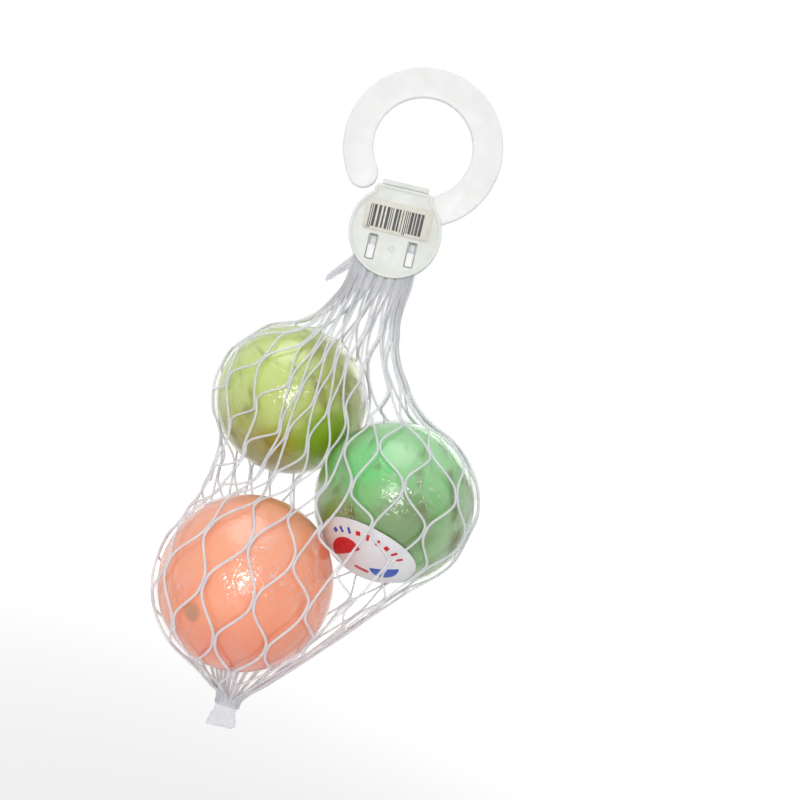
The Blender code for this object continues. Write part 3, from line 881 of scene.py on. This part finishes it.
def make_net(mat, centres, seal):
    """The net in lengths that meet at planes: pinched, two of neck, flare and bag."""
    planes = (NECK_TOP_Z, SWING_END_Z, TWIST_END_Z, SWAY_END_Z)
    lengths = [[] for _ in range(len(planes) + 1)]
    for path, radii in strand_paths(centres, seal):
        path, radii, cuts = cut_at(path, radii, planes)
        rings = tube_rings(path, radii, 8)
        edges = [0, *cuts, len(path) - 1]
        for length, start, end in zip(lengths, edges, edges[1:]):
            length.append(rings[start:end + 1])
    names = ("pinched_net", "neck_strands_upper", "neck_strands_lower", "neck_strands_flare", "bag_net")
    pieces = [tubes_mesh(name, rings, mat) for name, rings in zip(names, lengths)]
    pinched, upper, lower, flare, bag = pieces
    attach(pinched, "hanger")
    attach(bag, "bag")
    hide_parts("net_clip_end")
    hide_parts("net_neck_upper")
    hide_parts("net_neck_lower")
    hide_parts("net_body")
    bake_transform(upper)
    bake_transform(lower)
    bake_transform(flare)


def make_tail(mat):
    """A corner of the net that the clip missed: strands side by side, pointing down to the left."""
    curl = 0.0022
    ripple = 0.0004
    taper_start = 0.9
    taper = 0.7
    steps = 24
    ring_sets = []
    for i in range(TAIL_STRANDS):
        share = i / (TAIL_STRANDS - 1)
        root, middle, tip = (Vector(upper).lerp(Vector(lower), share) for upper, lower in TAIL_EDGES)
        path = []
        radii = []
        for k in range(steps + 1):
            t = k / steps
            flat = root * (1 - t) ** 2 + middle * 2 * t * (1 - t) + tip * t * t
            y = ripple * math.sin(math.pi * share * 2 + 3 * t) - curl * t * t * (0.4 + share)
            path.append(tuple(HANGER @ Vector((flat.x, y * min(1.0, 3 * t), flat.y))))
            radii.append(TAIL_STRAND_R * (1 - taper * max(0.0, t - taper_start) / (1 - taper_start)))
        ring_sets.append(tube_rings(np.array(path), radii, 8))
    tail = tubes_mesh("net_tail", ring_sets, mat)
    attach(tail, "hanger")


def make_weld(mat):
    """The melted end: strands run together into a flat, ribbed tab with an uneven cut."""
    low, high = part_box("bottom_weld")
    middle = (low + high) / 2
    half = (high - low) / 2
    top_z = high.z + WELD_RISE
    squareness = 0.75
    ribs = 13
    around = 72
    levels = 30
    verts = []
    for level in range(levels + 1):
        share = level / levels
        z = top_z + (low.z - top_z) * share
        waist = 0.12 * math.exp(-((share - 0.42) / 0.10) ** 2)
        width = half.x * (0.80 + 0.28 * share ** 1.5 - waist)
        thickness = half.y * (1.05 - 0.25 * share)
        start = math.sin(min(1.0, share / 0.12) * math.pi / 2) * 0.5 + 0.5
        close = math.sqrt(max(0.0, 1 - max(0.0, (share - 0.94) / 0.06) ** 2)) * 0.25 + 0.75
        for i in range(around):
            angle = 2 * math.pi * i / around
            c, s = math.cos(angle), math.sin(angle)
            rib = 1 + 0.10 * math.cos(ribs * angle + 2 * share) * (1 - 0.6 * share)
            lump = start * (1 + 0.10 * noise.noise(Vector((3 * c, 3 * s, 6 * share))))
            x = width * lump * math.copysign(abs(c) ** squareness, c)
            y = thickness * lump * rib * close * math.copysign(abs(s) ** squareness, s)
            ragged = 0.0006 * noise.noise(Vector((4 * c, 0.0, 1.7))) * share ** 6
            slant = 0.10 * (x if share > 0.5 else 0.0) * share ** 4
            verts.append((middle.x + x, middle.y + y, z + ragged + slant))
    weld = add_object("weld_tab", verts, tube_faces(levels + 1, around), mat, sharp_deg=60)
    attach(weld, "bag")
    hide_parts("bottom_weld")


# ---- Balls, film and sticker ----
def sphere_mesh(name, centre, axis, radius_at, around, levels, mat):
    """A closed round mesh about an axis, with its radius given by direction."""
    turn = Vector(axis).to_track_quat("Z", "Y").to_matrix()
    directions = [turn @ Vector((0, 0, 1))]
    for level in range(1, levels):
        slope = math.pi * level / levels
        for i in range(around):
            angle = 2 * math.pi * i / around
            level_r = math.sin(slope)
            local = Vector((level_r * math.cos(angle), level_r * math.sin(angle), math.cos(slope)))
            directions.append(turn @ local)
    directions.append(turn @ Vector((0, 0, -1)))
    verts = [direction * radius_at(direction) for direction in directions]
    faces = band_faces(levels - 1, around, 1)
    last = len(verts) - 1
    base = last - around
    for i in range(around):
        j = (i + 1) % around
        faces += [(0, 1 + i, 1 + j), (last, base + j, base + i)]
    return add_object(name, verts, faces, mat, Matrix.Translation(centre))


def ball_centre(tone):
    """The middle of a ball, from its upper half."""
    low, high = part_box(f"ball_{tone}_upper_shell")
    return Vector(((low.x + high.x) / 2, (low.y + high.y) / 2, low.z - SEAM_GAP / 2))


def make_ball(tone, mat, seam_axis, seed):
    """A rubber ball: slightly uneven, with the line where its two halves meet and a filler mark."""
    axis = Vector(seam_axis).normalized()
    mark = axis.orthogonal().normalized()
    seam_height = 0.00009
    seam_width = 0.012             # as a share of the radius
    unevenness = 0.00007
    dent_depth = 0.00030
    dent_width = 0.0016            # as 1 less the cosine of its half angle
    mean_r = BALL_R - 0.00008

    def radius_at(direction):
        seam = seam_height * math.exp(-(direction.dot(axis) / seam_width) ** 2)
        wave = unevenness * noise.noise(direction * 2.3 + Vector((seed, 0, 0)))
        dent = dent_depth * math.exp(-((1 - direction.dot(mark)) / dent_width) ** 2)
        return mean_r + seam + wave - dent

    ball = sphere_mesh(f"rubber_ball_{tone}", ball_centre(tone), axis, radius_at, 96, 72, mat)
    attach(ball, f"ball_{tone}")
    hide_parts(f"ball_{tone}_upper_shell", f"ball_{tone}_lower_shell")


def make_film(tone, mat, axis, seed):
    """Film gathered at both ends of an axis, with facets and creases between."""
    pole = Vector(axis).normalized()
    side = pole.orthogonal().normalized()
    other = pole.cross(side)
    pleats = 23

    def radius_at(direction):
        height = direction.dot(pole)
        longitude = math.atan2(direction.dot(other), direction.dot(side))
        spot = direction * 5.0 + Vector((seed, seed * 0.7, 0))
        crease = 1 - 2 * abs(noise.noise(spot))
        fine = 1 - 2 * abs(noise.noise(spot * 2.7))
        pleat = math.cos(pleats * longitude + 3 * noise.noise(direction * 2.0)) * height * height
        relief = 0.55 * crease + 0.25 * fine + 0.35 * pleat - 0.45
        return FILM_R + FILM_RELIEF * max(-1.0, min(1.0, relief))

    wrap = sphere_mesh(f"film_{tone}", ball_centre(tone), pole, radius_at, 200, 120, mat)
    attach(wrap, f"ball_{tone}")
    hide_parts(f"wrap_{tone}")


def sticker_turn():
    """Sticker's own right, outward and up directions, turned as in the CAD."""
    turn, slope, roll = (math.radians(value) for value in STICKER_AIM_DEG)
    aim = Matrix.Rotation(turn, 3, "Z") @ Matrix.Rotation(-slope, 3, "X") @ Matrix.Rotation(roll, 3, "Y")
    return aim @ Vector((1, 0, 0)), aim @ Vector((0, -1, 0)), aim @ Vector((0, 0, 1))


def finely(outline, longest):
    """The outline with its long edges divided, so that it can follow a curve."""
    points = []
    for here, after in zip(outline, outline[1:] + outline[:1]):
        pieces = max(1, math.ceil(math.dist(here, after) / longest))
        for i in range(pieces):
            share = i / pieces
            points.append((here[0] + (after[0] - here[0]) * share, here[1] + (after[1] - here[1]) * share))
    return points


def curved_patch(name, centre, outline, middle, base_r, thickness, mat, rings=14):
    """A thin closed patch that follows a ball: outline points are distances over its surface."""
    right, out, up = sticker_turn()
    outline = finely(outline, 0.0010)
    verts = []
    count = len(outline)

    def place(x, z, radius):
        reach = math.hypot(x, z)
        bend = reach / base_r
        flat = (right * x + up * z).normalized() if reach > 1e-9 else Vector()
        return (out * math.cos(bend) + flat * math.sin(bend)) * radius

    for radius in (base_r + thickness, base_r):
        verts.append(place(*middle, radius))
        for ring in range(1, rings + 1):
            share = ring / rings
            for x, z in outline:
                lowered = radius - (thickness * 0.5 if ring == rings and radius > base_r else 0.0)
                verts.append(place(middle[0] + (x - middle[0]) * share,
                                   middle[1] + (z - middle[1]) * share, lowered))
    layer = 1 + rings * count
    rim = layer - count
    faces = band_faces(rings, count, 1) + band_faces(rings, count, layer + 1)
    for i in range(count):
        j = (i + 1) % count
        faces += [(0, 1 + i, 1 + j), (layer, layer + 1 + i, layer + 1 + j)]
        faces.append((rim + i, rim + j, layer + rim + j, layer + rim + i))
    patch = add_object(name, verts, faces, mat, Matrix.Translation(centre), sharp_deg=50)
    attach(patch, "ball_green")
    return patch


def make_sticker(paper_mat, red, blue):
    """White oval sticker with plain coloured shapes in place of its print."""
    centre = ball_centre("green")
    sticker = curved_patch("oval_sticker", centre, oval(STICKER_HALF), (0, 0), STICKER_R,
                           STICKER_THICKNESS, paper_mat)
    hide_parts("sticker_green")
    print_r = STICKER_R + STICKER_THICKNESS
    shapes = [("print_dome", oval((0.0066, 0.0080), (-0.0066, -0.0020), 50, 230, 24), red)]
    shapes.append(("print_bowl", oval((0.0056, 0.0062), (0.0090, -0.0006), 200, 380, 24), blue))
    shapes.append(("print_foot", rounded_box((0.0030, 0.0010), 0.0008, (0.0012, -0.0060)), red))
    for name, outline, mat in shapes:
        middle = tuple(np.mean(outline, axis=0))
        curved_patch(name, centre, outline, middle, print_r, INK_THICKNESS, mat, rings=6)
    for i in range(STICKER_MARKS):
        angle = math.radians(156 - 15 * i)
        spot = Vector((MARKS_HALF[0] * math.cos(angle), MARKS_HALF[1] * math.sin(angle)))
        half = (0.0006, 0.0013) if i % 3 else (0.0010, 0.0009)
        turn = Matrix.Rotation(math.atan2(spot.y, spot.x) - math.pi / 2, 2)
        outline = [tuple(turn @ Vector(point) + spot) for point in rounded_box(half, 0.0004)]
        curved_patch(f"print_mark_{i}", centre, outline, tuple(spot), print_r, INK_THICKNESS,
                     blue if i < 3 else red, rings=3)


# ---- Stage ----
def make_world():
    """Even soft light, seen as plain white."""
    world = bpy.data.worlds.new("studio")
    bpy.context.scene.world = world
    nodes = Nodes(world)
    ambient = nodes.tree.nodes["Background"]
    nodes.put(ambient.inputs["Color"], WHITE)
    nodes.put(ambient.inputs["Strength"], AMBIENT_STRENGTH)
    white = nodes.add("ShaderNodeBackground", {"Color": WHITE, "Strength": 1.0})
    nodes.white_to_camera(white, ambient, "World Output")


def make_floor():
    """Pale floor under the hanging bag; it adds white of its own, more far off, so only shadows show."""
    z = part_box("bottom_weld")[0].z - FLOOR_DROP
    nodes = new_material("floor_white")
    nodes.set(Base_Color=(0.86, 0.86, 0.86, 1.0), Roughness=0.9, Specular_IOR_Level=0.0)
    reach = nodes.add("ShaderNodeVectorMath", {0: nodes.place}, operation="LENGTH").outputs["Value"]
    fade = {"Value": reach, "From Min": 0.45, "From Max": 1.00, "To Min": 0.25, "To Max": 0.75}
    strength = nodes.add("ShaderNodeMapRange", fade).outputs["Result"]
    glow = nodes.add("ShaderNodeEmission", {"Strength": strength})
    bright = nodes.add("ShaderNodeAddShader", {0: nodes.shader.outputs[0], 1: glow.outputs[0]})
    nodes.white_to_camera(bright, nodes.shader, "Material Output")
    corners = [(x * FLOOR_HALF, y * FLOOR_HALF, z) for x, y in ((-1, -1), (1, -1), (1, 1), (-1, 1))]
    floor = add_object("floor", corners, [(0, 1, 2, 3)], nodes.owner)


def add_lamp(name, place, target, size, power):
    """A square soft lamp."""
    data = bpy.data.lights.new(name, "AREA")
    data.shape = "SQUARE"
    data.size = size
    data.energy = power
    lamp = bpy.data.objects.new(name, data)
    bpy.context.scene.collection.objects.link(lamp)
    way = Vector(target) - Vector(place)
    lamp.matrix_world = Matrix.Translation(place) @ way.to_track_quat("-Z", "Y").to_matrix().to_4x4()


def make_lights():
    """A small lamp by the photographer, and soft ones over the bag and behind it."""
    target = (0.0, 0.0, -0.150)
    add_lamp("front_lamp", (0.0, -0.90, 0.02), target, 0.18, 3.0)
    add_lamp("top_lamp", (-0.25, -0.20, 0.75), target, 0.7, 2.4)
    add_lamp("back_lamp", (0.30, 0.80, 0.25), target, 0.6, 1.6)


def make_camera():
    """The photograph's viewpoint: level, turned a little on its own axis."""
    data = bpy.data.cameras.new("camera")
    data.lens = CAMERA_LENS
    data.sensor_width = 36.0
    data.clip_start = 0.01
    data.clip_end = 20.0
    camera = bpy.data.objects.new("camera", data)
    bpy.context.scene.collection.objects.link(camera)
    level = Matrix.Rotation(math.radians(90), 4, "X")
    roll = Matrix.Rotation(math.radians(CAMERA_ROLL_DEG), 4, "Z")
    camera.matrix_world = Matrix.Translation(CAMERA_PLACE) @ level @ roll
    bpy.context.scene.camera = camera


# ---- Everything together ----
# base: the rubber's lighter and darker tones, mixed at random, and its specks. zones: each a direction, the
# two cosines from it between which the zone fades in, its colour and share, and its edge's wobble and the
# wobble's scale.
# gloss: the side that is crinkled most. film: haze, its folds' tone, its axis and the folds' share.
# Some zones are painted light from above, painted shade underneath or painted reflections, each marked
# below.
BALL_LOOKS = {
    "yellow": {
        "base": (colour(192, 210, 96), colour(172, 192, 62), colour(118, 110, 30)),
        "zones": [
            # Lighter upper-left zone: painted light from above.
            (seen(-0.35, 0.65, 0.6), 0.50, 1.0, colour(208, 228, 130), 0.85, 0.25, 50.0),
            (seen(0.85, 0.35, 0.3), 0.55, 0.95, colour(170, 176, 78), 0.75, 0.4, 60.0),
            # Dark golden lower-left zone: painted shade under the ball.
            (seen(-0.45, -0.85, 0.25), 0.40, 0.95, colour(156, 142, 4), 0.95, 0.5, 70.0),
            (seen(0.50, -0.55, 0.65), 0.84, 0.97, colour(150, 190, 14), 0.95, 0.2, 70.0),
            (seen(1.0, 0.10, 0.15), 0.95, 0.99, colour(104, 66, 26), 0.85, 0.06, 120.0),
        ],
        "gloss": seen(0.1, 0.05, 1.0),
        "film": (colour(212, 220, 134), colour(150, 138, 60), seen(-0.5, 0.8, 0.1), 0.30),
    },
    "green": {
        "base": (colour(106, 186, 92), colour(86, 168, 70), colour(70, 112, 50)),
        "zones": [
            # Light mint top zone: painted light from above.
            (seen(0.25, 0.9, 0.35), 0.40, 0.95, colour(150, 220, 150), 0.85, 0.35, 60.0),
            (seen(0.75, -0.65, 0.25), 0.45, 0.95, colour(150, 184, 132), 0.85, 0.5, 60.0),
            # Brownish lower-left zone: painted reflection of the orange ball.
            (seen(-0.80, -0.35, 0.35), 0.62, 0.97, colour(142, 146, 66), 0.8, 0.5, 70.0),
            # Dark olive zone round the glints: painted reflection of dark surroundings.
            (seen(0.10, -0.20, 0.95), 0.86, 0.98, colour(84, 124, 34), 0.85, 0.22, 110.0),
            (seen(-0.25, 0.55, 0.75), 0.93, 0.985, colour(76, 206, 92), 0.8, 0.12, 90.0),
        ],
        "gloss": seen(0.1, 0.12, 1.0),
        "film": (colour(206, 232, 192), colour(128, 124, 70), seen(0.15, 1.0, -0.1), 0.42),
    },
    "orange": {
        "base": (colour(255, 150, 98), colour(251, 136, 82), colour(212, 100, 52)),
        "zones": [
            # Lighter top zone: painted light from above.
            (seen(0.0, 0.8, 0.5), 0.35, 1.0, colour(255, 166, 122), 0.7, 0.2, 40.0),
            # Darker bottom zone: painted shade underneath.
            (seen(-0.1, -0.9, 0.35), 0.35, 0.95, colour(238, 112, 66), 0.8, 0.25, 40.0),
            (seen(-0.42, -0.13, 0.90), 0.991, 0.999, colour(150, 104, 44), 0.65, 0.008, 160.0),
        ],
        "gloss": seen(-0.1, 0.1, 1.0),
        "film": (colour(255, 240, 230), colour(255, 226, 208), seen(0.6, 0.7, 0.0), 0.16),
    },
}

make_camera()
make_world()
make_lights()
make_floor()

white_plastic = hanger_plastic("hanger_white", colour(246, 247, 246), colour(241, 242, 241))
# The cover and its hinge are the same moulding as the ring; their darker, greener white is painted shade.
shaded_cover_plastic = hanger_plastic("cover_white_painted_shade", colour(230, 233, 227), colour(223, 227, 220))
make_hanger(white_plastic)
make_cover(shaded_cover_plastic)
make_hinge(shaded_cover_plastic)
label_paper = paper("label_paper", colour(232, 230, 220), colour(222, 219, 204), 0.55)
make_label(label_paper, ink("bar_ink", colour(34, 34, 36), colour(84, 84, 82)))

strand_plastic = net_plastic()
ball_centres = np.array([tuple(ball_centre(tone)) for tone in BALL_LOOKS])
weld_low, weld_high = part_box("bottom_weld")
weld_middle = (weld_low + weld_high) / 2
seal_place = np.array((weld_middle.x, weld_middle.y, weld_high.z + SEAL_RISE))
make_net(strand_plastic, ball_centres, seal_place)
make_tail(strand_plastic)
make_weld(strand_plastic)

for seed, (tone, look) in enumerate(BALL_LOOKS.items(), start=1):
    axis = look["film"][2]
    make_ball(tone, rubber(f"rubber_{tone}", look["base"], look["zones"], look["gloss"]), axis, seed)
    make_film(tone, film(f"film_{tone}", *look["film"]), axis, 10.0 * seed)
sticker_white = paper("sticker_white", colour(238, 238, 240), colour(228, 229, 234), 0.25)
make_sticker(sticker_white, ink("print_red", colour(206, 34, 44), colour(220, 70, 76), 0.3),
             ink("print_blue", colour(44, 84, 186), colour(80, 116, 204), 0.3))

bpy.context.scene.view_settings.view_transform = "Standard"
